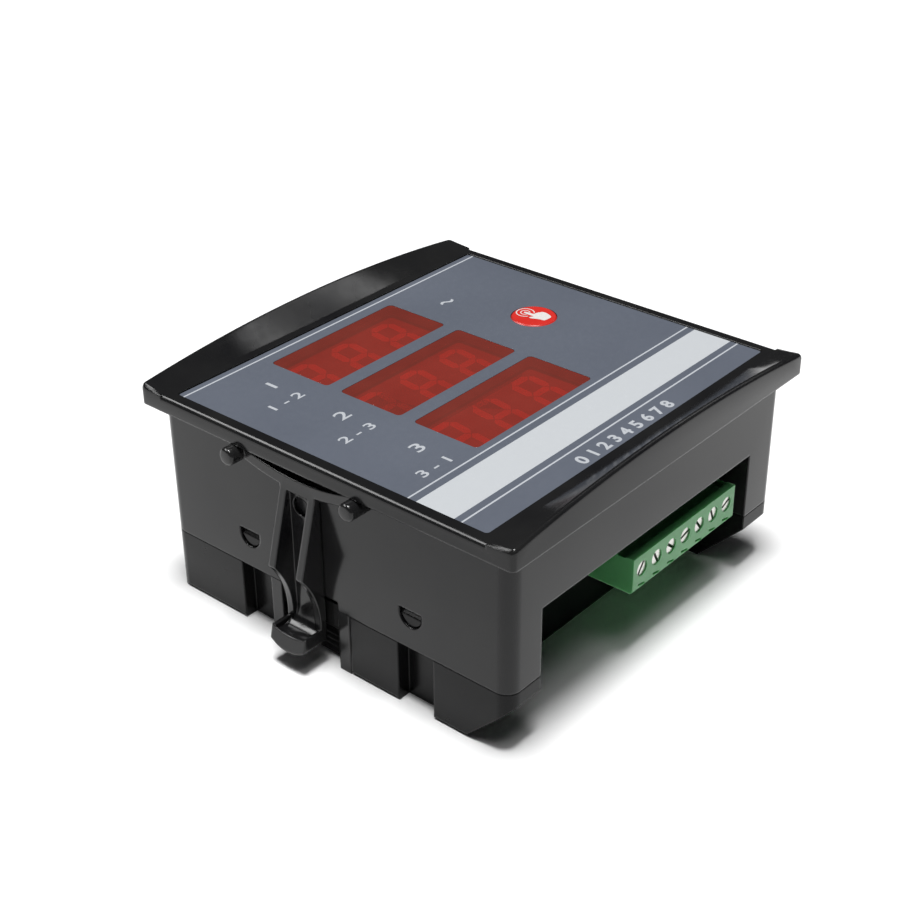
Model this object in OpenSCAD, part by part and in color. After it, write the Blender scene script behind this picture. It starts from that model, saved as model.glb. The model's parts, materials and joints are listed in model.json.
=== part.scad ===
// Square three-row digital panel meter for a 92 mm panel cut-out, in millimetres.
// It lies on its rear face: +Z comes out of the display face, +Y points to the top of the display,
// and the origin is the middle of the rear face.

/* [Bezel] */
// Width and height of the square bezel
bezel_w = 96; // [95:0.5:115]
// Height of the bezel's side rims above the panel
flange_t = 3.5; // [3:0.1:5]
// Radius of the bezel's corners and of the rims' outer edges
bezel_r = 1.2; // [0.6:0.1:2]
// Width of the side rims beside the label
rim_w = 2.8; // [2:0.1:5]
// Width of the raised bars along the top and bottom of the bezel
bar_w = 6.2; // [4:0.1:8]
// Flat strip between the label and each bar
strip_w = 2; // [1:0.1:4]
// Rise of a bar's outer edge above the rims at its ends
bar_end_rise = 0.85; // [0.5:0.05:2]
// Rise of a bar's outer edge above the rims at its middle
bar_mid_rise = 4; // [2:0.1:6]
// Rounding along a bar's outer edge
bar_r = 0.9; // [0.4:0.1:1.5]

/* [Case] */
// Outer width and height of the body behind the bezel
body_w = 90.5; // [88:0.5:92]
// Corner radius of the body
body_r = 3.2; // [2.5:0.1:5]
// Wall thickness of the case
wall = 2; // [1.6:0.1:2.4]
// Depth of the front case from the panel to the seam
case_depth = 30; // [28:0.5:45]
// Depth of the rear cover from the seam to the rear face
cover_depth = 14; // [13:0.5:20]
// Thickness of the face plate under the label
face_t = 2; // [1.5:0.1:2.5]
// Gap between pieces that are pushed together
fit = 0.15; // [0.1:0.05:0.25]

/* [Terminal bay] */
// Left side of the bay
bay_left = -36; // [-37:0.1:-30]
// Right side of the bay
bay_right = 34.3; // [33:0.1:36]
// Depth of the bay from the lower wall
bay_depth = 17.25; // [16:0.25:20]
// Height of the bay's mouth above the seam
bay_rise = 15.1; // [14:0.1:18]
// Thickness of the bay's own walls
bay_wall = 1.6; // [1.2:0.1:2]
// Height of the slope under the rear cover's lower corners
foot_slope = 10.7; // [6:0.1:11]

/* [Side walls] */
// Place along Y of the clip and its channel
clip_y = 5.4; // [2:0.1:8]
// Width of the channel that guides the clip
channel_w = 15.6; // [14:0.1:17]
// Width of the tongues on each side of the channel
tongue_w = 3; // [2.4:0.1:4]
// Depth of the recesses in the rear cover's sides
recess_d = 3; // [2.5:0.1:3.5]
// Pitch of the ratchet teeth
tooth_pitch = 1.4; // [1:0.1:2]
// Height of the ratchet teeth
tooth_h = 0.8; // [0.5:0.1:1]
// Distance of the snap windows from the middle
snap_y = 21.5; // [20.5:0.1:26]
// Width of a snap window
snap_w = 5.6; // [4:0.1:7]
// Height of a snap window
snap_h = 4; // [3.5:0.1:5]

/* [Clip] */
// Distance between the two pegs of a clip
peg_span = 31.6; // [28:0.1:34]
// Radius of a peg
peg_r = 1.9; // [1.5:0.1:2.2]
// How far the pegs stand out from the wall
peg_l = 5; // [3:0.1:6]
// Thickness of the clip's web and bow
clip_t = 1.4; // [1:0.1:1.6]
// Greatest height of the ribs from the wall
rib_h = 5.9; // [5:0.1:6.2]
// Width of the thumb tab
tab_w = 9.2; // [9:0.1:10]

/* [Display] */
// Width of a display window
window_w = 36.6; // [34:0.1:38]
// Height of a display window
window_h = 16; // [14:0.1:17]
// Distance between the display rows
row_pitch = 19.55; // [18.5:0.05:21]
// Middle of the windows along X
window_x = -5.2; // [-8:0.1:0]
// Middle row's place along Y
window_y = 7.9; // [5:0.1:9]
// Thickness of the label
label_t = 0.3; // [0.2:0.05:0.5]
// Height of a digit
digit_h = 14.2; // [10:0.1:14.5]
// Distance between the digits
digit_pitch = 12.5; // [11:0.1:12.6]
// Height of a display module above its board
module_h = 8; // [6:0.1:9]

/* [Key] */
// Radius of the key
key_r = 5; // [4:0.1:6]
// Place of the key along X
key_x = 28.4; // [26:0.1:32]
// Place of the key along Y
key_y = 7.2; // [0:0.1:12]
// Travel of the key
key_travel = 0.5; // [0.3:0.05:0.6]

/* [Terminals] */
// Number of terminals
poles = 7; // [3:1:7]
// Distance between the terminals
pole_pitch = 5.08; // [5:0.01:5.1]
// Right side of the terminal block
block_right = 29.8; // [28:0.1:31]
// Height of the block's wire side above the rear face
block_low = 15.9; // [15:0.1:17]
// Height of the block from its wire side
block_h = 8.3; // [8.2:0.1:9]
// Height of the screws above the block's wire side
screw_z = 4.8; // [4.7:0.05:4.9]
// Travel of a clamp cage
cage_travel = 2.5; // [2:0.1:2.6]

/* [Hidden] */
$fn = 48;

black = "#161618";
board_green = "#1f5a3a";

half = bezel_w / 2;
side = body_w / 2;
inner = side - wall;
panel_z = cover_depth + case_depth;
rim_z = panel_z + flange_t;
label_z = rim_z - 0.25;
seat_z = label_z - label_t;
plate_z = seat_z - face_t;
crease_y = half - bar_w;
label_w = bezel_w - 2 * rim_w - 2 * fit;
label_h = 2 * (crease_y - strip_w);

bay_y = -side + bay_depth;
bay_top = cover_depth + bay_rise;
bay_back = bay_y + bay_wall;

// Rows of windows, from the top one down
row_y = [for (i = [1:-1:-1]) window_y + i * row_pitch];
window_r = 1;
window_lip = 1;
window_flange = 0.8;
module_z = plate_z - window_flange;
module_w = 3 * digit_pitch + 0.2;
module_d = row_pitch - 0.55;
board_t = 1.6;
board_z = module_z - module_h;
board_w = 2 * (inner - 0.5);
boss_xy = inner - 4.75;
boss_r = 3;
boss_hole = 1.1;

key_gap = 0.1;
key_stem_r = 1.6;
key_rim = 1.2;
key_rim_t = 0.8;
switch_w = 6;
switch_h = 3.5;
plunger_r = 1.75;
switch_top = board_z + switch_h;

snap_z = cover_depth + 4.8;
snap_gap = 0.2;
lip_t = 1.2;
cover_r = 0.8;
lip_h = 2.5;
hook_out = 1.8;

// The clip is drawn with u as the distance out from the side wall
clip_u = 0.15;
channel_top = cover_depth + 2;
groove_in = 0.75;
groove_w = 1.3;
groove_d = 1.4;
foot_gap = 0.1;
peg_z = panel_z - peg_r - 0.1;
peg_edge = 0.8;
bow_dip = 2.7;
bow_h = 2.4;
rib_t = 1.7;
rib_gap = 7.5;
rib_low = 1.65;
rib_top = panel_z - 5.8;
kink_z = panel_z - 21.7;
scoop_z = cover_depth - 4.2;
floor_t = 0.55;
floor_hole_r = 2;
tab_z = cover_depth - 5.4;
tab_h = 4.2;
tab_u = 6.1;
tab_lean = 1;
tab_dip = 0.8;
tab_sag = 1.3;
tab_rim = 0.7;
hollow_r = 3;
hollow_u = 3.9;
hollow_z = tab_z + 1.6;
back_r = 6;

block_w = poles * pole_pitch + 0.84;
block_left = block_right - block_w;
block_front = -side + 0.25;
block_top = block_low + block_h;
power_y = bay_back + 0.2;
power_w = 79;
power_low = wall + 0.3;
power_h = board_z - board_t - 0.2 - power_low;
power_back = power_y + board_t;
screw_head_r = 1.8;
screw_head_h = 1.9;
screw_r = 1.25;
screw_lip = 0.25;
screw_gap = 0.05;
head_y = block_front + screw_lip + 0.05;
shoulder_y = head_y + screw_head_h;
cage_w = 3.8;
cage_h = 4;
cage_l = 5.4;
cage_wall = 0.8;
cage_side = cage_w / 2 - screw_r - screw_gap;
cage_nut = 1.2;
cage_y = shoulder_y + 2.9 + cage_travel;
tongue_y = cage_y + cage_nut + 0.1;
tongue_t = cage_l - cage_nut - cage_wall - cage_travel - 0.2;
dash_tilt = 12;
slot_turns = [34, -28, -50, 74, -38, -22, 68];

function pole_x(i) = block_left + 0.42 + (i + 0.5) * pole_pitch;
function arc_r(half_chord, sag) = (half_chord * half_chord + sag * sag) / (2 * sag);

// ---------- shared shapes ----------

module round_rect(w, h, r) {
    square([w, h - 2 * r], center = true);
    square([w - 2 * r, h], center = true);
    for (sx = [-1, 1], sy = [-1, 1]) {
        translate([sx * (w / 2 - r), sy * (h / 2 - r)]) circle(r);
    }
}

module slab(w, h, r, low, high) {
    translate([0, 0, low]) linear_extrude(high - low) round_rect(w, h, r);
}

module box(low, high) {
    translate(low) cube(high - low);
}

// Both side walls carry the same features, mirrored
module both_sides() {
    children();
    mirror([1, 0, 0]) children();
}

// Outline in (Y, Z) given thickness along X from x0 to x1
module along_x(x0, x1) {
    translate([x0, 0, 0]) rotate([90, 0, 90]) linear_extrude(x1 - x0) children();
}

// Outline in (X, Z) given length along Y from y0 to y1
module along_y(y0, y1) {
    translate([0, y1, 0]) rotate([90, 0, 0]) linear_extrude(y1 - y0) children();
}

module windows_2d(grow) {
    for (y = row_y) {
        translate([window_x, y]) round_rect(window_w + 2 * grow, window_h + 2 * grow, window_r);
    }
}

// Snap window outline in (Y, Z): flat top, round bottom
module snap_2d(grow) {
    r = snap_w / 2 + grow;
    intersection() {
        union() {
            translate([0, snap_z + snap_w / 2]) circle(r);
            translate([-r, snap_z + snap_w / 2]) square([2 * r, snap_h]);
        }
        translate([-r, snap_z - grow]) square([2 * r, snap_h + 2 * grow]);
    }
}

// ---------- front case ----------

bar_steps = 24;
edge_steps = 4;
bar_arch = bar_mid_rise - bar_end_rise;
bar_arch_r = arc_r(half, bar_arch);

// Places along a bar: [x, how far the rounded corner pulls the outline in]
function bar_stations() = concat(
    [for (i = [0:edge_steps - 1]) let (a = 90 * i / edge_steps)
        [-half + bezel_r * (1 - cos(a)), bezel_r * (1 - sin(a))]],
    [for (i = [0:bar_steps]) [(half - bezel_r) * (2 * i / bar_steps - 1), 0]],
    [for (i = [edge_steps - 1:-1:0]) let (a = 90 * i / edge_steps)
        [half - bezel_r * (1 - cos(a)), bezel_r * (1 - sin(a))]]
);

function bar_top(x) = rim_z + bar_mid_rise - bar_arch_r + sqrt(bar_arch_r * bar_arch_r - x * x);

// Section of a bar at one place, from its inner foot round its outer edge to the crease
function bar_section(x, pull) =
    let (y = half - pull, z = bar_top(x) - pull)
    concat(
        [[x, crease_y, panel_z], [x, y, panel_z]],
        [for (i = [0:edge_steps]) let (a = 90 * i / edge_steps)
            [x, y - bar_r * (1 - cos(a)), z - bar_r * (1 - sin(a))]],
        [[x, crease_y, min(rim_z, z)]]
    );

module bar() {
    stations = bar_stations();
    n = edge_steps + 4;
    last = len(stations) - 1;
    points = [for (s = stations) each bar_section(s[0], s[1])];
    skin = [for (s = [0:last - 1], i = [0:n - 1]) let (a = s * n, b = a + n, j = (i + 1) % n)
        each [[a + i, b + i, b + j], [a + i, b + j, a + j]]];
    caps = [[for (i = [0:n - 1]) i], [for (i = [n - 1:-1:0]) last * n + i]];
    polyhedron(points, concat(skin, caps), convexity = 4);
}

// Flange between the bars, with rounded outer edges
module flange() {
    along_y(-crease_y, crease_y) {
        translate([-half, panel_z]) square([bezel_w, flange_t - bezel_r]);
        translate([-half + bezel_r, panel_z]) square([bezel_w - 2 * bezel_r, flange_t]);
        for (s = [-1, 1]) translate([s * (half - bezel_r), rim_z - bezel_r]) circle(bezel_r);
    }
}

// Pocket that holds the terminals, grown by g for its walls
module bay(g, low, high) {
    box([bay_left - g, -side - 1, low], [bay_right + g, bay_y + g, high]);
}

// Guides of the clip below the seam, on one side wall
module tongues() {
    for (s = [-1, 1]) {
        y = clip_y + s * (channel_w + tongue_w) / 2;
        box([-side, y - tongue_w / 2, 0], [-side + recess_d, y + tongue_w / 2, channel_top + 4]);
    }
}

module tongue_grooves() {
    groove = -side + groove_in;
    w = channel_w / 2 + groove_d;
    box([groove, clip_y - w, -1], [groove + groove_w, clip_y + w, channel_top]);
    box([-side - 1, clip_y - channel_w / 2, -1], [-side + recess_d + 1, clip_y + channel_w / 2, channel_top]);
}

module front_case() color(black) difference() {
    union() {
        flange();
        for (s = [0, 1]) mirror([0, s, 0]) bar();
        difference() {
            slab(body_w, body_w, body_r, cover_depth, panel_z + 0.5);
            slab(2 * inner, 2 * inner, body_r - wall, cover_depth - 1, plate_z);
        }
        intersection() {
            bay(bay_wall, cover_depth, bay_top + bay_wall);
            slab(body_w, body_w, body_r, cover_depth, panel_z);
        }
        both_sides() tongues();
        for (sx = [-1, 1], sy = [-1, 1]) {
            translate([sx * boss_xy, sy * boss_xy, board_z])
                cylinder(r = boss_r, h = plate_z - board_z + 0.5);
        }
    }
    // interior under the flange, which is solid above it
    slab(2 * inner - 2 * boss_r, 2 * inner - 2 * boss_r, 1, plate_z - 3, plate_z);
    // seat of the label
    slab(label_w + 2 * fit, label_h + 2 * fit, 0.8, seat_z, rim_z + 1);
    translate([0, 0, plate_z - 1]) linear_extrude(face_t + 2) windows_2d(0);
    translate([key_x, key_y, plate_z - 1]) cylinder(r = key_r + key_gap, h = face_t + 2);
    bay(0, -1, bay_top);
    // the terminal block stands in a window at the back of the bay
    box([block_left - fit, bay_y - 1, block_low - fit], [block_right + fit, bay_back + 1, block_top + fit]);
    both_sides() {
        tongue_grooves();
        for (y = [-snap_y, snap_y]) along_x(-side - 1, -inner + 1) translate([y, 0]) snap_2d(0);
    }
    for (sx = [-1, 1], sy = [-1, 1]) {
        translate([sx * boss_xy, sy * boss_xy, board_z - 1]) cylinder(r = boss_hole, h = 8);
    }
}

// ---------- rear cover ----------

// Recesses under the snap windows: [middle, width] along Y
recesses = [[clip_y + (channel_w + 2 * tongue_w) / 2 + 4.2, 8.4], [-snap_y - 1.05, 8.9]];
clip_recess_w = channel_w + 2 * tongue_w + 2 * fit;

module side_recesses(g) {
    both_sides() {
        for (r = recesses) {
            box([-side - 1, r[0] - r[1] / 2 - g, -1],
                [-side + recess_d + g, r[0] + r[1] / 2 + g, cover_depth]);
        }
        box([-side - 1, clip_y - clip_recess_w / 2 - g, -1],
            [-side + recess_d + fit + g, clip_y + clip_recess_w / 2 + g, cover_depth]);
    }
}

// Slope under the lower corners, moved in by g
module foot_cut(g) {
    s = g * sqrt(2);
    along_x(-side - 1, side + 1) polygon([
        [-side - 1, -1], [-side + foot_slope + 1 + s, -1], [-side - 1, foot_slope + 1 + s]
    ]);
}

module rack() {
    count = floor((cover_depth - 1) / tooth_pitch);
    w = channel_w - 2 * fit;
    x0 = -side + recess_d + fit;
    along_y(clip_y - w / 2, clip_y + w / 2) for (i = [0:count - 1]) {
        z = 0.6 + i * tooth_pitch;
        back = z + 0.9 * tooth_pitch;
        polygon([[x0 + 0.3, z], [x0, z], [x0 - tooth_h, z + 0.25], [x0, back], [x0 + 0.3, back]]);
    }
}

module hook() {
    x0 = -inner + fit;
    top = snap_z + snap_h - snap_gap;
    // spring arm, standing inside the front case
    box([x0, -snap_w / 2 + 0.4, cover_depth - 2], [x0 + lip_t, snap_w / 2 - 0.4, top]);
    // catch in the snap window, its upper edge chamfered to ride in
    difference() {
        along_x(x0 - hook_out, x0 + 0.2) snap_2d(-snap_gap);
        translate([x0 - hook_out, 0, top]) rotate([0, 45, 0]) cube([2, snap_w + 2, 2], center = true);
    }
}

// Outline of the cover's block seen from a side, its rear edges rounded
module cover_side_2d() {
    translate([-side, cover_r]) square([body_w, cover_depth - cover_r]);
    translate([-side + cover_r, 0]) square([body_w - 2 * cover_r, cover_depth]);
    for (s = [-1, 1]) translate([s * (side - cover_r), cover_r]) circle(cover_r);
}

module cover_block() intersection() {
    slab(body_w, body_w, body_r, 0, cover_depth);
    along_x(-side, side) cover_side_2d();
    along_y(-side, side) cover_side_2d();
}

module rear_cover() color(black) {
    difference() {
        union() {
            difference() {
                cover_block();
                difference() {
                    slab(2 * inner, 2 * inner, body_r - wall, wall, cover_depth + 1);
                    side_recesses(bay_wall);
                    bay(bay_wall, -1, cover_depth + 1);
                    foot_cut(wall);
                }
            }
            // lip that locates the cover inside the front case
            difference() {
                union() {
                    slab(2 * inner + 0.2, 2 * inner + 0.2, body_r - wall, cover_depth - 2, cover_depth);
                    slab(2 * (inner - fit), 2 * (inner - fit),
                        body_r - wall, cover_depth - 1, cover_depth + lip_h);
                }
                slab(2 * (inner - fit - lip_t), 2 * (inner - fit - lip_t),
                    body_r - wall, cover_depth - 3, cover_depth + 4);
                bay(bay_wall + 0.5, cover_depth, cover_depth + 4);
                bay(bay_wall, cover_depth - 3, cover_depth + 4);
                both_sides() box([-side, clip_y - clip_recess_w / 2 - 0.5, cover_depth],
                    [-side + 6, clip_y + clip_recess_w / 2 + 0.5, cover_depth + 4]);
            }
            both_sides() for (y = [-snap_y, snap_y]) translate([0, y, 0]) hook();
            // closes the channel behind the front case's wall
            both_sides() box([-side + recess_d + fit, clip_y - channel_w / 2, cover_depth - 1],
                [-side + recess_d + fit + bay_wall, clip_y + channel_w / 2, channel_top + 1.5]);
        }
        bay(0, -1, cover_depth + 1);
        foot_cut(0);
        side_recesses(0);
    }
    both_sides() rack();
    // rails that hold the power board's lower edge
    for (x = [-32, 0, 32]) {
        box([x - 3, power_back + 0.2, wall - 0.5], [x + 3, power_back + 1.4, wall + 4]);
    }
}

// ---------- label, windows and key ----------

module face_label() color("#686e78") translate([0, 0, seat_z]) linear_extrude(label_t) difference() {
    round_rect(label_w, label_h, 0.7);
    windows_2d(0);
    translate([key_x, key_y]) circle(key_r + key_gap);
}

// A red pane fills its opening up to the label's face and is held by a flange behind the plate
module window_pane(i) color("#a01414") translate([window_x, row_y[i], 0]) {
    slab(window_w - 0.1, window_h - 0.1, window_r, plate_z - 0.1, label_z - 0.05);
    slab(window_w + 2 * window_lip, window_h + 2 * window_lip, window_r, module_z, plate_z);
}

key_face = label_z + 0.15;

module key_cap() color("#d8301c") translate([key_x, key_y, 0]) rotate_extrude() polygon([
    [0, switch_top + key_travel + 0.7],
    [key_stem_r, switch_top + key_travel + 0.7],
    [key_stem_r, plate_z - 0.1 - key_rim_t],
    [key_r + key_rim, plate_z - 0.1 - key_rim_t],
    [key_r + key_rim, plate_z - 0.1],
    [key_r, plate_z - 0.1],
    [key_r, key_face - 0.3],
    [key_r - 0.3, key_face],
    [0, key_face]
]);

module tact_switch() color("#2b2b2e") difference() {
    translate([key_x, key_y, 0]) slab(switch_w, switch_w, 0.6, board_z, switch_top);
    translate([key_x, key_y, board_z + 1.2]) cylinder(r = plunger_r + screw_gap, h = switch_h);
}

module switch_plunger() color("#202022") translate([key_x, key_y, switch_top - 1.2]) {
    cylinder(r = plunger_r, h = key_travel + 1.9);
}

// ---------- display ----------

// One bar of a seven-segment digit, mitred at both ends, along X or along Y, leaning with the digit
seg_t = 1.9;
seg_gap = 0.25;
lean = 0.12;
digit_w = digit_h * 0.52;

function leaned(p, x, y) = [x + p[0] + lean * (y + p[1]), y + p[1]];
function bar_outline(l) = [
    [-l / 2, 0], [-l / 2 + seg_t / 2, seg_t / 2], [l / 2 - seg_t / 2, seg_t / 2],
    [l / 2, 0], [l / 2 - seg_t / 2, -seg_t / 2], [-l / 2 + seg_t / 2, -seg_t / 2]
];

module segment(l, upright, x, y) {
    polygon([for (p = bar_outline(l)) leaned(upright ? [p[1], p[0]] : p, x, y)]);
}

module digit_2d() {
    w = digit_w - seg_t;
    h = (digit_h - seg_t) / 2;
    for (y = [-h, 0, h]) segment(w - seg_gap, false, 0, y);
    for (x = [-w / 2, w / 2], y = [-h / 2, h / 2]) segment(h - seg_gap, true, x, y);
    translate([w / 2 + 1.9, -h - 0.2]) circle(r = 0.9, $fn = 24);
}

module digits(i, low, high) {
    translate([window_x - 0.6, row_y[i], low]) linear_extrude(high - low) {
        for (k = [-1:1]) translate([k * digit_pitch, 0]) digit_2d();
    }
}

module display_module(i) color("#3a3436") difference() {
    translate([window_x, row_y[i], 0]) slab(module_w, module_d, 0.4, board_z, module_z);
    digits(i, module_z - 0.6, module_z + 1);
}

module display_segments(i) color("#e8e0da") digits(i, module_z - 0.6, module_z);

module display_board() color(board_green) difference() {
    slab(board_w, board_w, 1.5, board_z - board_t, board_z);
    for (sx = [-1, 1], sy = [-1, 1]) {
        translate([sx * boss_xy, sy * boss_xy, board_z - 3]) cylinder(r = boss_hole + 0.2, h = 5);
    }
}

module board_screws() color("silver") for (sx = [-1, 1], sy = [-1, 1]) {
    translate([sx * boss_xy, sy * boss_xy, board_z - board_t]) difference() {
        union() {
            translate([0, 0, -1.3]) cylinder(r = 2.2, h = 1.3);
            cylinder(r = boss_hole - screw_gap, h = board_t + 6);
        }
        translate([-0.3, -3, -1.5]) cube([0.6, 6, 0.8]);
    }
}

module controller_chip() color("#1b1b1d") {
    slab_z = board_z - board_t;
    translate([24, -18, 0]) slab(10, 10, 0.3, slab_z - 1.5, slab_z - 0.1);
    translate([24, -18, 0]) {
        for (k = [-4:4], a = [0, 90, 180, 270]) rotate([0, 0, a]) {
            box([4.9, k - 0.2, slab_z - 0.6], [6.2, k + 0.2, slab_z]);
        }
    }
}

// ---------- power board ----------

module power_board() color(board_green) difference() {
    box([-power_w / 2, power_y, power_low], [power_w / 2, power_back, power_low + power_h]);
    for (i = [0:poles - 1]) {
        box([pole_x(i) - 0.55, power_y - 1, block_low + screw_z + 2.05],
            [pole_x(i) + 0.55, power_back + 1, block_low + screw_z + 2.85]);
    }
}

module link_header() color("#1c1c1e") {
    z = board_z - board_t;
    box([-14, power_back, z - 3.2], [12, power_back + 2.5, z - 0.7]);
    for (k = [0:9]) {
        x = -12.4 + k * 2.54;
        box([x - 0.3, power_back + 0.9, z - 0.8], [x + 0.3, power_back + 1.5, z]);
    }
}

// ---------- terminals ----------

module terminal_block() color("#4fa560") difference() {
    along_x(block_left, block_right) polygon([
        [block_front, block_low + 0.6], [block_front + 0.6, block_low],
        [power_y, block_low], [power_y, block_top],
        [block_front + 9.2, block_top], [block_front + 9.2, block_top - 0.5],
        [block_front + 7.2, block_top - 0.5], [block_front + 6.8, block_top - 0.1],
        [block_front + 4.2, block_top - 0.1], [block_front + 3.8, block_top - 0.5],
        [block_front + 2.2, block_top - 0.5], [block_front + 1.8, block_top - 0.2],
        [block_front, block_top - 0.2]
    ]);
    for (i = [0:poles - 1]) translate([pole_x(i), 0, block_low + screw_z]) {
        // screw's mouth, head chamber and shank hole
        translate([0, block_front - 1, 0]) rotate([-90, 0, 0]) cylinder(r = screw_head_r - 0.1, h = 2);
        translate([0, block_front + screw_lip, 0]) rotate([-90, 0, 0])
            cylinder(r = screw_head_r + 0.06, h = screw_head_h + 0.2);
        translate([0, shoulder_y, 0]) rotate([-90, 0, 0]) cylinder(r = screw_r + 0.15, h = 5);
        // chamber of the rising cage, and its wire entry
        box([-cage_w / 2 - 0.15, cage_y - cage_travel - 0.3, -cage_h / 2 - 0.15],
            [cage_w / 2 + 0.15, cage_y + cage_l + 0.15, cage_h / 2 + 0.15]);
        box([-1.9, tongue_y - 0.2, -screw_z - 1], [1.9, cage_y + cage_l, 0]);
        // way of the contact strip to the board
        box([-1.1, tongue_y - 0.1, 0], [1.1, power_y + 1, cage_h / 2 + 0.9]);
        // slanted dash under each screw
        translate([0, block_front, -3.65]) rotate([0, dash_tilt, 0]) box([-1.2, -1, -0.25], [1.2, 0.6, 0.25]);
    }
    box([block_right - 2.3, block_front + 1.9, block_top - 2.4],
        [block_right - 1, block_front + 4.3, block_top + 1]);
}

module terminal_pins() color("#c9c4b4") for (i = [0:poles - 1]) {
    z = block_low + screw_z;
    translate([pole_x(i), 0, 0]) {
        box([-0.95, tongue_y, z - cage_h / 2 + 0.2], [0.95, tongue_y + tongue_t, z + 2.8]);
        box([-0.95, tongue_y, z + 2.1], [0.95, power_y - 0.2, z + 2.8]);
        box([-0.5, power_y - 0.4, z + 2.1], [0.5, power_back + 1.5, z + 2.8]);
    }
}

module terminal_screw(i) color("silver") translate([pole_x(i), 0, block_low + screw_z]) difference() {
    union() {
        translate([0, head_y, 0]) rotate([-90, 0, 0]) cylinder(r = screw_head_r, h = screw_head_h);
        translate([0, shoulder_y - 0.1, 0]) rotate([-90, 0, 0])
            cylinder(r = screw_r, h = tongue_y - 0.3 - shoulder_y + 0.1);
    }
    rotate([0, slot_turns[i], 0]) box([-0.3, head_y - 1, -3], [0.3, head_y + 0.8, 3]);
}

module clamp_cage(i) color("#b9b9bd") translate([pole_x(i), cage_y, block_low + screw_z]) difference() {
    box([-cage_w / 2, 0, -cage_h / 2], [cage_w / 2, cage_l, cage_h / 2]);
    box([-cage_w / 2 + cage_side, cage_nut, -cage_h], [cage_w / 2 - cage_side, cage_l - cage_wall, cage_h]);
    translate([0, -1, 0]) rotate([-90, 0, 0]) cylinder(r = screw_r + screw_gap, h = cage_nut + 2);
}

// ---------- clip ----------

// Drawn about its own middle line; u runs outwards from the side wall
function out(u) = -side - u;

// Spring bow between the pegs: its ends bear under the flange, its middle dips
module bow_2d() {
    dip = bow_dip - 0.1;
    r = arc_r(peg_span / 2, dip);
    difference() {
        intersection() {
            translate([0, panel_z - bow_dip - bow_h + r]) circle(r = r, $fn = 240);
            translate([-peg_span / 2, panel_z - bow_dip - bow_h]) square([peg_span, bow_h + dip + 1]);
        }
        translate([0, panel_z - bow_dip + r]) circle(r = r, $fn = 240);
    }
    for (s = [-1, 1]) translate([s * peg_span / 2, peg_z]) circle(peg_r);
}

// Rib seen from the side: it grows down to the kink, then a scoop leads back in
module rib_2d() {
    r = arc_r(kink_z - scoop_z, rib_h - rib_low);
    difference() {
        polygon([
            [out(clip_u), rib_top], [out(clip_u + clip_t), rib_top], [out(rib_h), kink_z + 0.4],
            [out(rib_h), tab_z - 0.5], [out(clip_u), tab_z - 0.5]
        ]);
        translate([out(rib_low + r), scoop_z]) circle(r = r, $fn = 240);
    }
}

// Hollow of the tab: a small round at the bottom, met by a larger one from the floor
module hollow_2d() {
    run = clip_u + floor_t + back_r - hollow_u;
    rise = sqrt(pow(back_r - hollow_r, 2) - run * run);
    split = hollow_z - hollow_r * rise / (back_r - hollow_r);
    translate([out(hollow_u), hollow_z]) circle(hollow_r);
    intersection() {
        translate([out(hollow_u + run), hollow_z + rise]) circle(r = back_r, $fn = 96);
        translate([out(hollow_u + run), split]) square([run + back_r, 2 * back_r]);
    }
}

// Thumb tab: a ledge with curved edges, hollowed on its upper side
module thumb_tab() {
    low = tab_z - tab_h;
    r_top = arc_r(tab_w / 2, tab_dip);
    r_low = arc_r(tab_w / 2, tab_sag);
    difference() {
        union() {
            intersection() {
                along_y(-tab_w / 2, tab_w / 2) polygon([
                    [out(clip_u), tab_z], [out(tab_u), tab_z],
                    [out(tab_u + tab_lean), low], [out(clip_u), low]
                ]);
                translate([out(10), 0, low + r_low]) rotate([0, 90, 0]) cylinder(r = r_low, h = 12, $fn = 96);
            }
            // foot of the floor, left standing behind the hollow
            box([out(1.9), -rib_gap / 2, tab_z - 1], [out(clip_u), rib_gap / 2, hollow_z + 1]);
        }
        translate([out(10), 0, tab_z - tab_dip + r_top]) rotate([0, 90, 0])
            cylinder(r = r_top, h = 8, $fn = 96);
        along_y(-tab_w / 2 + tab_rim, tab_w / 2 - tab_rim) hollow_2d();
    }
}

// Peg with a rounded end
module peg() rotate([0, 90, 0]) rotate_extrude() polygon(concat(
    [[0, peg_l - clip_u], [0, 0]],
    [for (i = [0:edge_steps]) let (a = 90 * i / edge_steps)
        [peg_r - peg_edge * (1 - sin(a)), peg_edge * (1 - cos(a))]],
    [[peg_r, peg_l - clip_u]]
));

module clip_at_left() translate([0, clip_y, 0]) {
    rib_out = rib_gap / 2 + rib_t / 2;
    foot_w = channel_w + 2 * groove_d - 2 * foot_gap;
    foot_in = -side + groove_in + foot_gap;
    foot_back = -side + groove_in + groove_w - foot_gap;
    along_x(out(clip_u + clip_t), out(clip_u)) {
        bow_2d();
        translate([-rib_out, rib_top]) square([2 * rib_out, 1.6]);
    }
    // floor between the ribs, with its hole
    along_x(out(clip_u + floor_t), out(clip_u)) difference() {
        translate([-rib_out, tab_z - 1]) square([2 * rib_out, rib_top - tab_z + 1.5]);
        translate([0, panel_z - 8.9]) circle(floor_hole_r);
    }
    for (s = [-1, 1]) {
        translate([out(peg_l), s * peg_span / 2, peg_z]) peg();
        along_y(s * rib_gap / 2 - rib_t / 2, s * rib_gap / 2 + rib_t / 2) rib_2d();
    }
    thumb_tab();
    // neck through the channel's mouth to the foot that runs in the tongues' grooves
    box([out(clip_u + 0.2), -2.6, tab_z], [foot_in + 0.3, 2.6, channel_top - 1.4]);
    box([foot_in, -foot_w / 2, tab_z], [foot_back, foot_w / 2, channel_top - 1.4]);
}

module clip_left() color(black) clip_at_left();
module clip_right() color(black) mirror([1, 0, 0]) clip_at_left();

// ---------- parts on the power board ----------

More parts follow.
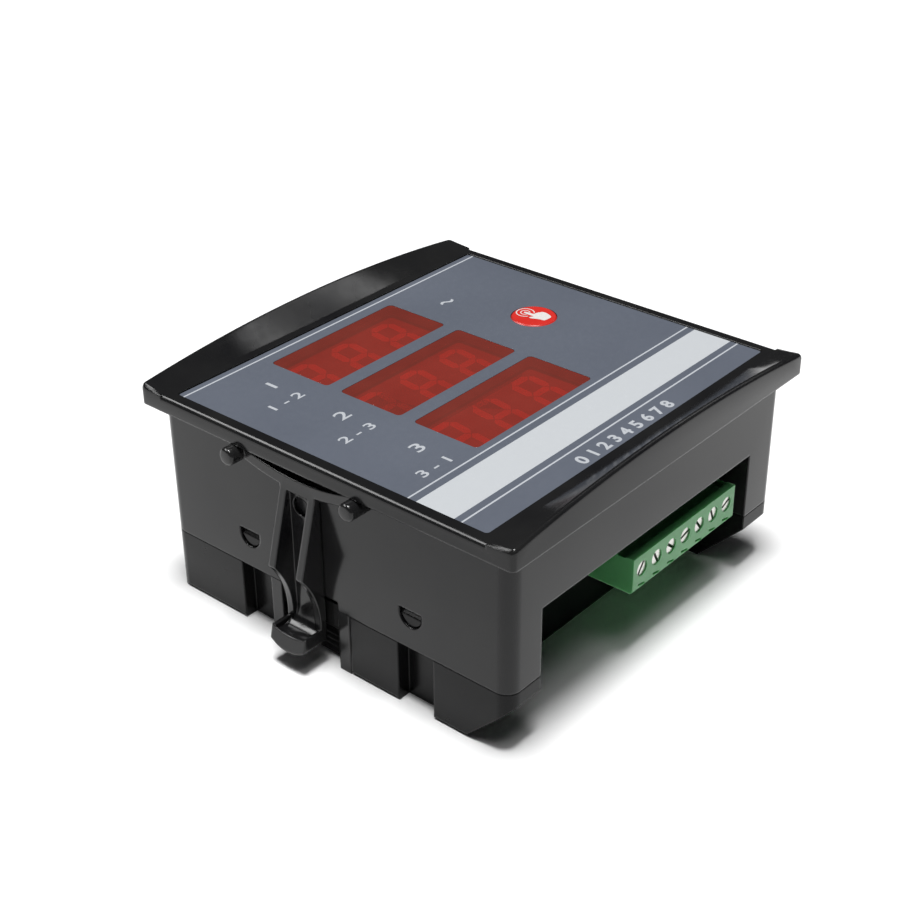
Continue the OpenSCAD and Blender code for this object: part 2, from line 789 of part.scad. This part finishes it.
core_w = 35;
core_h = 29;
core_t = 14;
core_x = -19;
core_y = power_back + 6.5;
core_z = power_low + 1.5;
limb_w = 11;
yoke = 5.5;

module transformer_core() color("#4a4a50") difference() {
    box([core_x - core_w / 2, core_y, core_z], [core_x + core_w / 2, core_y + core_t, core_z + core_h]);
    for (s = [-1, 1]) {
        x = core_x + s * (limb_w / 2 + 3.25);
        box([x - 3.25, core_y - 1, core_z + yoke], [x + 3.25, core_y + core_t + 1, core_z + core_h - yoke]);
    }
}

module transformer_bobbin() color("#d8d4c4") difference() {
    union() {
        box([core_x - limb_w / 2 - 1.1, core_y - 1.1, core_z + yoke + 0.1],
            [core_x + limb_w / 2 + 1.1, core_y + core_t + 1.1, core_z + core_h - yoke - 0.1]);
        for (z = [core_z + yoke + 0.1, core_z + core_h - yoke - 1.1]) {
            box([core_x - limb_w / 2 - 6, core_y - 6, z],
                [core_x + limb_w / 2 + 6, core_y + core_t + 6, z + 1]);
        }
        for (x = [-8, -2.7, 2.7, 8]) {
            box([core_x + x - 1, power_back, core_z + yoke + 0.1],
                [core_x + x + 1, core_y - 5.5, core_z + yoke + 3]);
        }
    }
    box([core_x - limb_w / 2 - 0.1, core_y - 0.1, core_z],
        [core_x + limb_w / 2 + 0.1, core_y + core_t + 0.1, core_z + core_h]);
}

module transformer_winding() color("#b5562c") difference() {
    low = core_z + yoke + 1.2;
    high = core_z + core_h - yoke - 1.2;
    box([core_x - limb_w / 2 - 5.6, core_y - 5.2, low],
        [core_x + limb_w / 2 + 5.6, core_y + core_t + 5.2, high]);
    box([core_x - limb_w / 2 - 1.2, core_y - 1.2, low - 1],
        [core_x + limb_w / 2 + 1.2, core_y + core_t + 1.2, high + 1]);
}

module supply_capacitors() color("#27345c") for (x = [9, 21]) {
    translate([x, power_back, 10]) rotate([-90, 0, 0]) {
        cylinder(r = 5, h = 12.5);
    }
}

resistor_low = 20.6;

module film_capacitor() color("#c8a032") translate([33, power_back + 3.8, 0]) {
    slab(7, 7.6, 0.8, 7, resistor_low - 0.4);
}

module input_resistors() color("#7aa6c8") for (i = [0:poles - 1]) {
    x = pole_x(i) + 2.2;
    translate([x, power_back + 1.3, 22]) cylinder(r = 1.2, h = 6.3);
    translate([x, power_back + 1.3, resistor_low]) cylinder(r = 0.3, h = 9.1);
    for (z = [resistor_low, resistor_low + 8.5]) {
        box([x - 0.3, power_back, z], [x + 0.3, power_back + 1.5, z + 0.6]);
    }
}

// ---------- nodes ----------

front_case();
rear_cover();
face_label();
clip_left();
clip_right();
key_cap();
for (i = [0:2]) window_pane(i);
for (i = [0:2]) display_module(i);
for (i = [0:2]) display_segments(i);
display_board();
tact_switch();
switch_plunger();
board_screws();
controller_chip();
power_board();
link_header();
terminal_block();
terminal_pins();
for (i = [0:poles - 1]) terminal_screw(i);
for (i = [0:poles - 1]) clamp_cage(i);
transformer_core();
transformer_bobbin();
transformer_winding();
supply_capacitors();
film_capacitor();
input_resistors();
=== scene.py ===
"""Looks for the panel meter: finishes, label printing, key mark, light, floor and camera.

Everything is in metres in the part's own frame: +Z out of the display face, +Y to the top of the
display, +X along the digit rows. Sizes are written in millimetres and turned into metres by MM.
"""

import json
import math

import bmesh
import bpy
from mathutils import Matrix, Vector


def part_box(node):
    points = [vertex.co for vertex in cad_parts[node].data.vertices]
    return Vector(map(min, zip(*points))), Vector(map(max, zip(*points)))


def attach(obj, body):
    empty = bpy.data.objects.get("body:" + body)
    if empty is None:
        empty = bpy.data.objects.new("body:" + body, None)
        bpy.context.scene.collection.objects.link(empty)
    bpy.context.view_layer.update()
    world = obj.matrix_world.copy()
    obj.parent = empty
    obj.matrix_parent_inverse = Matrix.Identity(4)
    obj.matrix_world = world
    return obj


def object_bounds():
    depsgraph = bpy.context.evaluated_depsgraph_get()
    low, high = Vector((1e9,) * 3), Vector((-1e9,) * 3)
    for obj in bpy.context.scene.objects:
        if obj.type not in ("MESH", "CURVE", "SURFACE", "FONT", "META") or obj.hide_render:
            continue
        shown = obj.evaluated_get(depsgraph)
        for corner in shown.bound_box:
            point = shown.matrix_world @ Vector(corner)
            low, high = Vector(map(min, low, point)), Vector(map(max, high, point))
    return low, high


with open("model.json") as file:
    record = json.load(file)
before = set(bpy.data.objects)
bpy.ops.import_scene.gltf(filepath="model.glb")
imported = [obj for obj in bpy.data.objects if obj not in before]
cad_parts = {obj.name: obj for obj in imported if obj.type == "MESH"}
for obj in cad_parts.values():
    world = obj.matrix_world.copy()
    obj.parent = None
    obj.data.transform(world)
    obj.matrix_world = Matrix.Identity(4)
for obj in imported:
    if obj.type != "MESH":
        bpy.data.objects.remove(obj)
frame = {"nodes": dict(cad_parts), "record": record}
cad_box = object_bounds()
nodes = frame["nodes"]

MM = 0.001


# ---------------------------------------------------------------- materials


class Look:
    """A Principled material, with short calls for the nodes that vary it. Patterns are in mm."""

    def __init__(self, name, **sockets):
        self.material = bpy.data.materials.new(name)
        self.material.use_nodes = True
        self.tree = self.material.node_tree
        self.shader = self.tree.nodes["Principled BSDF"]
        self.output = self.tree.nodes["Material Output"]
        for socket, value in sockets.items():
            self.shader.inputs[socket.replace("_", " ")].default_value = value
        place = self.add("ShaderNodeTexCoord").outputs["Object"]
        self.place = self.add("ShaderNodeVectorMath", {"operation": "SCALE"}, {0: place})
        self.place.inputs["Scale"].default_value = 1 / MM
        self.place = self.place.outputs[0]

    def add(self, kind, settings=None, inputs=None):
        """A node with these settings; each input is a value, or an output to link."""
        node = self.tree.nodes.new(kind)
        for key, value in (settings or {}).items():
            setattr(node, key, value)
        for key, value in (inputs or {}).items():
            if isinstance(value, bpy.types.NodeSocket):
                self.tree.links.new(value, node.inputs[key])
            else:
                node.inputs[key].default_value = value
        return node

    def link(self, output, socket):
        self.tree.links.new(output, self.shader.inputs[socket])

    def noise(self, per_mm, detail=3.0, stretch=(1, 1, 1), rough=0.55):
        """Noise from 0 to 1 with this many features per mm."""
        place = self.place
        if tuple(stretch) != (1, 1, 1):
            place = self.add(
                "ShaderNodeVectorMath", {"operation": "MULTIPLY"}, {0: place, 1: stretch}
            ).outputs[0]
        node = self.add(
            "ShaderNodeTexNoise",
            inputs={"Vector": place, "Scale": per_mm, "Detail": detail, "Roughness": rough},
        )
        return node.outputs["Fac"]

    def spread(self, value, low, high, start=0.3, end=0.7):
        """value from start to end becomes low to high."""
        node = self.add(
            "ShaderNodeMapRange",
            inputs={
                "Value": value,
                "From Min": start,
                "From Max": end,
                "To Min": low,
                "To Max": high,
            },
        )
        return node.outputs["Result"]

    def blend(self, share, first, second):
        """A colour from first to second, or from what an output gives."""
        node = self.add("ShaderNodeMix", {"data_type": "RGBA"}, {"Factor": share})
        for socket, colour in ((node.inputs[6], first), (node.inputs[7], second)):
            if isinstance(colour, bpy.types.NodeSocket):
                self.tree.links.new(colour, socket)
            else:
                socket.default_value = (*colour, 1)
        return node.outputs[2]

    def relief(self, bumps, edge=0.0):
        """Rounds sharp edges by edge mm, then adds bumps of (height, depth in mm, strength)."""
        normal = None
        if edge:
            normal = self.add("ShaderNodeBevel", {"samples": 8}, {"Radius": edge * MM}).outputs[0]
        for height, depth, strength in bumps:
            node = self.add(
                "ShaderNodeBump",
                inputs={"Height": height, "Distance": depth * MM, "Strength": strength},
            )
            if normal is not None:
                self.tree.links.new(normal, node.inputs["Normal"])
            normal = node.outputs[0]
        self.link(normal, "Normal")


def mottled(name, dark, light, rough, per_mm=0.12, grain=6.0, depth=0.004, edge=0.2, **sockets):
    """A moulded or painted surface: two near tones, uneven gloss and a fine grain."""
    look = Look(name, **sockets)
    look.link(look.blend(look.spread(look.noise(per_mm), 0, 1), dark, light), "Base Color")
    look.link(look.spread(look.noise(per_mm * 4), *rough), "Roughness")
    look.relief([(look.noise(grain, 2.0), depth, 0.35)], edge)
    return look


# Height of the joint between the rear cover and the front case, and half its width, in mm
SEAM = 14.0
SEAM_HALF = 0.13

# The darkest and lightest tone of the black mouldings
BLACKS = ((0.008, 0.008, 0.009), (0.015, 0.015, 0.015))


def black_plastic(name, rough, grain_depth, gloss=1.35, depth=0.9, seam=True):
    """Glossy black moulding with flow marks, fine grain, sink marks and a dark joint."""
    look = Look(name, IOR=gloss)
    dark, light = (tuple(depth * c for c in tone) for tone in BLACKS)
    tone = look.blend(look.spread(look.noise(0.06), 0, 1), dark, light)
    look.link(tone, "Base Color")
    haze = look.spread(look.noise(0.35, 5.0), *rough)
    smear = look.spread(look.noise(0.5, 3.0, (0.15, 0.15, 1.6)), 0.0, 0.03, 0.5, 0.75)
    both = look.add("ShaderNodeMath", {"operation": "ADD"}, {0: haze, 1: smear})
    look.link(both.outputs[0], "Roughness")
    if seam:
        height = look.add("ShaderNodeSeparateXYZ", inputs={0: look.place}).outputs["Z"]
        joint = look.add(
            "ShaderNodeMath", {"operation": "COMPARE"}, {0: height, 1: SEAM, 2: SEAM_HALF}
        )
        look.link(look.spread(joint.outputs[0], 0.5, 0.1, 0, 1), "Specular IOR Level")
    look.relief(
        [(look.noise(0.045, 1.0), 0.08, 0.3), (look.noise(8.0, 2.0), grain_depth, 0.4)], edge=0.55
    )
    return look


def metal(name, colour, rough, stretch=(1, 1, 1), edge=0.08):
    """Plated metal with fine drawn lines and a little tarnish."""
    look = Look(name, Metallic=1.0)
    darker = tuple(c * 0.72 for c in colour)
    look.link(look.blend(look.spread(look.noise(0.9, 4.0), 0, 1), darker, colour), "Base Color")
    look.link(look.spread(look.noise(3.0, 4.0), *rough), "Roughness")
    look.relief([(look.noise(7.0, 3.0, stretch), 0.01, 0.35)], edge)
    return look


label_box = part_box("face_label")
windows = [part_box(f"window_{row}") for row in (1, 2, 3)]
LABEL_TOP = label_box[1].z

# Printing on the label: the light band and the thin lines, as (middle along Y, half height) in mm
BAND = (-27.75, 4.45)
LINES = [(38.3, 0.2), (-21.4, 0.19), (-33.95, 0.19)]
INK = (0.44, 0.46, 0.49)
BAND_INK = (0.47, 0.49, 0.51)


def printed_film():
    """The slate label with its printed band and lines."""
    look = Look("label_film", IOR=1.46)
    slate = look.blend(
        look.spread(look.noise(0.03, 2.0), 0, 1), (0.091, 0.103, 0.130), (0.103, 0.116, 0.145)
    )
    across = look.add("ShaderNodeSeparateXYZ", inputs={0: look.place}).outputs["Y"]
    colour = slate
    for (middle, half), ink in [(BAND, BAND_INK), *((line, INK) for line in LINES)]:
        mask = look.add(
            "ShaderNodeMath", {"operation": "COMPARE"}, {0: across, 1: middle, 2: half}
        ).outputs[0]
        colour = look.blend(mask, colour, ink)
    look.link(colour, "Base Color")
    look.link(look.spread(look.noise(0.8, 4.0), 0.36, 0.46), "Roughness")
    look.relief([(look.noise(5.0, 2.0), 0.006, 0.3)], edge=0.08)
    return look


def red_pane():
    """Clear red plastic with a little haze: what lies behind it shows through, tinted."""
    look = Look("red_pane", IOR=1.49)
    haze = look.blend(
        look.spread(look.noise(0.12, 3.0), 0, 1), (0.40, 0.075, 0.055), (0.47, 0.09, 0.066)
    )
    look.link(haze, "Base Color")
    look.link(look.spread(look.noise(0.7, 4.0), 0.12, 0.22), "Roughness")
    look.relief([(look.noise(0.09, 1.0), 0.03, 0.25)], edge=0.1)
    clear = look.add("ShaderNodeBsdfTransparent", inputs={"Color": (0.86, 0.16, 0.13, 1)})
    mix = look.add(
        "ShaderNodeMixShader", inputs={0: 0.32, 1: clear.outputs[0], 2: look.shader.outputs[0]}
    )
    look.tree.links.new(mix.outputs[0], look.output.inputs["Surface"])
    return look


def printed_ink(name, colour):
    """Screen-printed ink: nearly flat, with a faintly uneven cover."""
    look = Look(name)
    thin = tuple(c * 0.9 for c in colour)
    look.link(look.blend(look.spread(look.noise(2.5, 3.0), 0, 1), thin, colour), "Base Color")
    look.link(look.spread(look.noise(1.2), 0.4, 0.5), "Roughness")
    look.relief([(look.noise(9.0, 2.0), 0.002, 0.2)])
    return look


finishes = {
    "case_black": black_plastic("case_plastic", (0.12, 0.18), 0.003),
    # Painted shade: lower gloss and half the base tone make the rear cover's low walls read
    # darker, as if they mirrored shadowed floor
    "cover_black": black_plastic("cover_plastic_shaded", (0.2, 0.27), 0.004, gloss=1.24, depth=0.5),
    "clip_black": black_plastic("clip_plastic", (0.12, 0.18), 0.003, gloss=1.4, seam=False),
    "label_grey": printed_film(),
    "window_red": red_pane(),
    "key_red": mottled("key_plastic", (0.53, 0.022, 0.016), (0.60, 0.028, 0.02), (0.28, 0.36)),
    "module_face": mottled("module_plastic", (0.24, 0.18, 0.16), (0.29, 0.22, 0.20), (0.5, 0.6)),
    "segment_white": mottled(
        "milky_segments", (0.56, 0.50, 0.47), (0.64, 0.58, 0.55), (0.35, 0.45)
    ),
    "board_green": mottled("solder_mask", (0.012, 0.085, 0.04), (0.02, 0.13, 0.06), (0.3, 0.42)),
    "terminal_green": mottled(
        "terminal_nylon", (0.075, 0.275, 0.10), (0.092, 0.32, 0.118), (0.34, 0.46), edge=0.16,
        Subsurface_Weight=0.5, Subsurface_Radius=(0.7, 1.0, 0.7), Subsurface_Scale=0.002,
    ),
    "plated_steel": metal("zinc_plate", (0.70, 0.69, 0.66), (0.22, 0.38)),
    "tinned_contact": metal("tinned_brass", (0.66, 0.62, 0.54), (0.3, 0.45)),
    "part_black": mottled(
        "component_black", (0.012, 0.012, 0.013), (0.022, 0.022, 0.024), (0.45, 0.6)
    ),
    "core_steel": metal("core_laminations", (0.24, 0.24, 0.25), (0.4, 0.6), (0.2, 0.2, 6.0)),
    "bobbin_white": mottled("natural_nylon", (0.60, 0.58, 0.50), (0.70, 0.68, 0.60), (0.4, 0.5)),
    "winding_copper": mottled(
        "winding_tape", (0.42, 0.15, 0.05), (0.55, 0.22, 0.07), (0.4, 0.55), grain=2.0
    ),
    "capacitor_blue": mottled(
        "capacitor_sleeve", (0.014, 0.03, 0.12), (0.02, 0.045, 0.16), (0.25, 0.35)
    ),
    "film_yellow": mottled("film_case", (0.50, 0.32, 0.035), (0.58, 0.39, 0.05), (0.4, 0.5)),
    "resistor_blue": mottled("resistor_body", (0.16, 0.34, 0.52), (0.22, 0.42, 0.62), (0.35, 0.5)),
}

# The rear cover takes a duller, darker copy of the case black: painted shade standing in for the
# shadowed floor that its low walls mirror
shaded_cover_finish = {"rear_cover": "cover_black"}
for subpart in frame["record"]["subparts"]:
    name = subpart["node"]
    finish = shaded_cover_finish.get(name, subpart["material_slot"])
    nodes[name].data.materials.clear()
    nodes[name].data.materials.append(finishes[finish].material)


def smooth_shading(limit):
    """Modifier nodes that shade across edges turning by less than limit degrees."""
    group = bpy.data.node_groups.new("smooth_shading", "GeometryNodeTree")
    for direction in ("INPUT", "OUTPUT"):
        group.interface.new_socket("Geometry", in_out=direction, socket_type="NodeSocketGeometry")
    start, weld, angle, small, faces, edges, end = (
        group.nodes.new(kind)
        for kind in (
            "NodeGroupInput",
            "GeometryNodeMergeByDistance",
            "GeometryNodeInputMeshEdgeAngle",
            "FunctionNodeCompare",
            "GeometryNodeSetShadeSmooth",
            "GeometryNodeSetShadeSmooth",
            "NodeGroupOutput",
        )
    )
    weld.inputs["Distance"].default_value = 0.001 * MM
    small.operation = "LESS_THAN"
    small.inputs["B"].default_value = math.radians(limit)
    edges.domain = "EDGE"
    for output, socket in (
        (start.outputs[0], weld.inputs["Geometry"]),
        (weld.outputs[0], faces.inputs["Geometry"]),
        (faces.outputs[0], edges.inputs["Geometry"]),
        (angle.outputs["Unsigned Angle"], small.inputs["A"]),
        (small.outputs[0], edges.inputs["Shade Smooth"]),
        (edges.outputs[0], end.inputs[0]),
    ):
        group.links.new(output, socket)
    return group


smoothing = smooth_shading(22)
for piece in nodes.values():
    piece.modifiers.new("smooth_shading", "NODES").node_group = smoothing


# ---------------------------------------------------------------- printing

INK_THICKNESS = 0.02 * MM
INK_LIFT = 0.012 * MM
FIGURE_SHARE = 0.73  # height of a figure as a share of the font's size
white_ink = printed_ink("white_ink", INK)
key_ink = printed_ink("key_ink", (0.66, 0.64, 0.62))


def add_piece(name, mesh, look, body):
    """Puts a mesh in the scene with its finish, riding on a body."""
    mesh.materials.clear()
    mesh.materials.append(look.material)
    piece = bpy.data.objects.new(name, mesh)
    bpy.context.scene.collection.objects.link(piece)
    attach(piece, body)
    return piece


def rounded(points, passes=2):
    """Cuts each corner of a closed outline, passes times, so that it turns smoothly."""
    for _ in range(passes):
        cut = []
        for here, there in zip(points, points[1:] + points[:1]):
            here, there = Vector(here), Vector(there)
            cut += [here.lerp(there, 0.25), here.lerp(there, 0.75)]
        points = cut
    return points


def ring_band(radius, width, start, end, steps=48):
    """The outline of an open ring, from start to end in degrees."""
    turns = [math.radians(start + (end - start) * i / steps) for i in range(steps + 1)]
    wide, narrow = radius + width / 2, radius - width / 2
    outer = [(math.cos(t) * wide, math.sin(t) * wide) for t in turns]
    inner = [(math.cos(t) * narrow, math.sin(t) * narrow) for t in turns]
    return outer + inner[::-1]


def printed_shape(name, outlines, place, look, body):
    """Thin ink shapes from closed outlines in mm, about a place in metres on the printed face."""
    shape = bmesh.new()
    for outline in outlines:
        corners = [
            shape.verts.new((place.x + p[0] * MM, place.y + p[1] * MM, place.z)) for p in outline
        ]
        face = shape.faces.new(corners)
        raised = bmesh.ops.extrude_face_region(shape, geom=[face])["geom"]
        lifted = [g for g in raised if isinstance(g, bmesh.types.BMVert)]
        bmesh.ops.translate(shape, vec=(0, 0, INK_THICKNESS), verts=lifted)
    bmesh.ops.recalc_face_normals(shape, faces=shape.faces)
    bmesh.ops.triangulate(shape, faces=[f for f in shape.faces if len(f.verts) > 4])
    mesh = bpy.data.meshes.new(name)
    shape.to_mesh(mesh)
    shape.free()
    return add_piece(name, mesh, look, body)


def printed_text(name, words, place, height, look, align="RIGHT", widen=1.45, bold=0.05):
    """Plain figures printed on the label, height mm tall, from a place in metres."""
    curve = bpy.data.curves.new(name, "FONT")
    curve.body = words
    curve.size = height * MM / FIGURE_SHARE
    curve.align_x = align
    curve.offset = bold * MM
    curve.extrude = INK_THICKNESS / 2
    curve.resolution_u = 4
    text = bpy.data.objects.new(name + "_curve", curve)
    bpy.context.scene.collection.objects.link(text)
    text.matrix_world = Matrix.Translation(place) @ Matrix.Diagonal((widen, 1, 1, 1))
    bpy.context.view_layer.update()
    mesh = bpy.data.meshes.new_from_object(text)
    mesh.transform(text.matrix_world)
    mesh.name = name
    bpy.data.objects.remove(text)
    return add_piece(name, mesh, look, "case")


ink_z = LABEL_TOP + INK_LIFT
for row, (low, high) in enumerate(windows, 1):
    following = row % 3 + 1
    x = low.x - 4.3 * MM
    middle = (low.y + high.y) / 2
    printed_text(
        f"row_number_{row}", f"{row}", Vector((x, middle - 0.7 * MM, ink_z)), 3.2, white_ink
    )
    printed_text(
        f"row_pair_{row}",
        f"{row} - {following}",
        Vector((x, middle - 7.4 * MM, ink_z)),
        2.5,
        white_ink,
    )

# A tilde for alternating current, and a plain number scale
wave = [(t / 16 * 3.6 - 1.8, 0.5 * math.sin(t / 16 * 2 * math.pi)) for t in range(17)]
tilde = [(x, y + 0.36) for x, y in wave] + [(x, y - 0.36) for x, y in reversed(wave)]
wave_place = Vector((22.0 * MM, 26.6 * MM, ink_z))
printed_shape("wave_mark", [rounded(tilde, 1)], wave_place, white_ink, "case")
for step in range(9):
    printed_text(
        f"scale_{step}",
        f"{step}",
        Vector(((-14.4 + 3.5 * step) * MM, -38.7 * MM, ink_z)),
        2.8,
        white_ink,
        align="CENTER",
        widen=1.1,
        bold=0.13,
    )

# The key's mark: a pointing finger with two touch rings, in mm about the key's middle
HAND = [
    (-0.28, 2.55), (-0.30, 0.9), (-0.32, -0.3), (-0.75, 0.1), (-1.25, 0.35), (-1.55, 0.1),
    (-1.3, -0.7), (-0.75, -1.7), (-0.55, -2.6), (-0.5, -3.25), (0.6, -3.4), (1.9, -3.4),
    (2.35, -2.6), (2.75, -1.6), (2.8, -0.5), (2.5, -0.1), (2.1, 0.0), (1.95, 0.25),
    (1.5, 0.35), (1.3, 0.5), (0.85, 0.5), (0.62, 0.6), (0.55, 1.4), (0.48, 2.55), (0.1, 2.9),
]
TOUCH = (0.1, 2.45)
key_low, key_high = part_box("key_cap")
key_face = Vector(
    ((key_low.x + key_high.x) / 2, (key_low.y + key_high.y) / 2, key_high.z + INK_LIFT)
)
rings = [
    [(x + TOUCH[0], y + TOUCH[1]) for x, y in ring_band(radius, width, -55, 235)]
    for radius, width in ((1.0, 0.24), (1.95, 0.26))
]
printed_shape("key_mark", [rounded(HAND)] + rings, key_face, key_ink, "key")


# ---------------------------------------------------------------- studio


def floor():
    """A wide pale floor under the meter."""
    size = 40.0
    mesh = bpy.data.meshes.new("floor")
    corners = [(-size, -size, 0), (size, -size, 0), (size, size, 0), (-size, size, 0)]
    mesh.from_pydata(corners, [], [(0, 1, 2, 3)])
    look = Look("floor_paper")
    look.link(look.blend(look.noise(0.01), (0.90, 0.90, 0.90), (0.92, 0.92, 0.92)), "Base Color")
    look.shader.inputs["Roughness"].default_value = 0.8
    look.shader.inputs["Specular IOR Level"].default_value = 0.1
    mesh.materials.append(look.material)
    plane = bpy.data.objects.new("floor", mesh)
    plane.location.z = cad_box[0].z - 0.05 * MM
    bpy.context.scene.collection.objects.link(plane)


def lamp(name, light, place):
    """Puts a light at a place, turned to the meter."""
    holder = bpy.data.objects.new(name, light)
    bpy.context.scene.collection.objects.link(holder)
    holder.location = place
    holder.rotation_mode = "QUATERNION"
    holder.rotation_quaternion = (-Vector(place)).to_track_quat("-Z", "Y")
    return holder


def overhead(name, place, angle, strength):
    """A far soft light that falls evenly on the whole floor, angle degrees wide."""
    light = bpy.data.lights.new(name, "SUN")
    light.angle = math.radians(angle)
    light.energy = strength
    lamp(name, light, place)


def softbox(name, place, size, power, gloss_only=False):
    """An area light in watts; gloss_only makes it a highlight strip."""
    light = bpy.data.lights.new(name, "AREA")
    light.shape = "RECTANGLE"
    light.size, light.size_y = size
    light.energy = power
    lamp(name, light, place).visible_diffuse = not gloss_only


floor()
overhead("key_light", (-0.3, -0.2, 4.5), 17, 4.1)
softbox("fill_light", (-0.9, -1.3, 4.2), (1.6, 1.2), 26)
softbox("rim_light", (-0.55, 0.85, 1.1), (1.0, 0.4), 15, gloss_only=True)
softbox("side_light", (1.1, -0.25, 1.1), (0.14, 0.8), 1.4, gloss_only=True)

world = bpy.data.worlds.new("studio")
bpy.context.scene.world = world
world.use_nodes = True
world.node_tree.nodes["Background"].inputs["Color"].default_value = (0.95, 0.97, 1.0, 1)
world.node_tree.nodes["Background"].inputs["Strength"].default_value = 0.03

# Camera: direction in degrees, place in metres, lens in mm on a 36 mm sensor
AZIMUTH, ELEVATION, ROLL = -49.279, 30.219, -0.597
CAMERA_PLACE = Vector((-0.22837, -0.18935, 0.20188))
LENS = 65.62

turn, lift, roll = (math.radians(a) for a in (AZIMUTH, ELEVATION, ROLL))
back = Vector((math.sin(turn) * math.cos(lift), -math.cos(turn) * math.cos(lift), math.sin(lift)))
right = (-back).cross(Vector((0, 0, 1))).normalized()
up = right.cross(-back)
right, up = (
    right * math.cos(roll) + up * math.sin(roll),
    up * math.cos(roll) - right * math.sin(roll),
)
camera_data = bpy.data.cameras.new("camera")
camera_data.sensor_width = 36
camera_data.lens = LENS
camera_data.clip_start, camera_data.clip_end = 0.01, 100
camera = bpy.data.objects.new("camera", camera_data)
axes = Matrix((right, up, back)).transposed().to_4x4()
camera.matrix_world = Matrix.Translation(CAMERA_PLACE) @ axes
bpy.context.scene.collection.objects.link(camera)
bpy.context.scene.camera = camera
bpy.context.scene.view_settings.view_transform = "Standard"
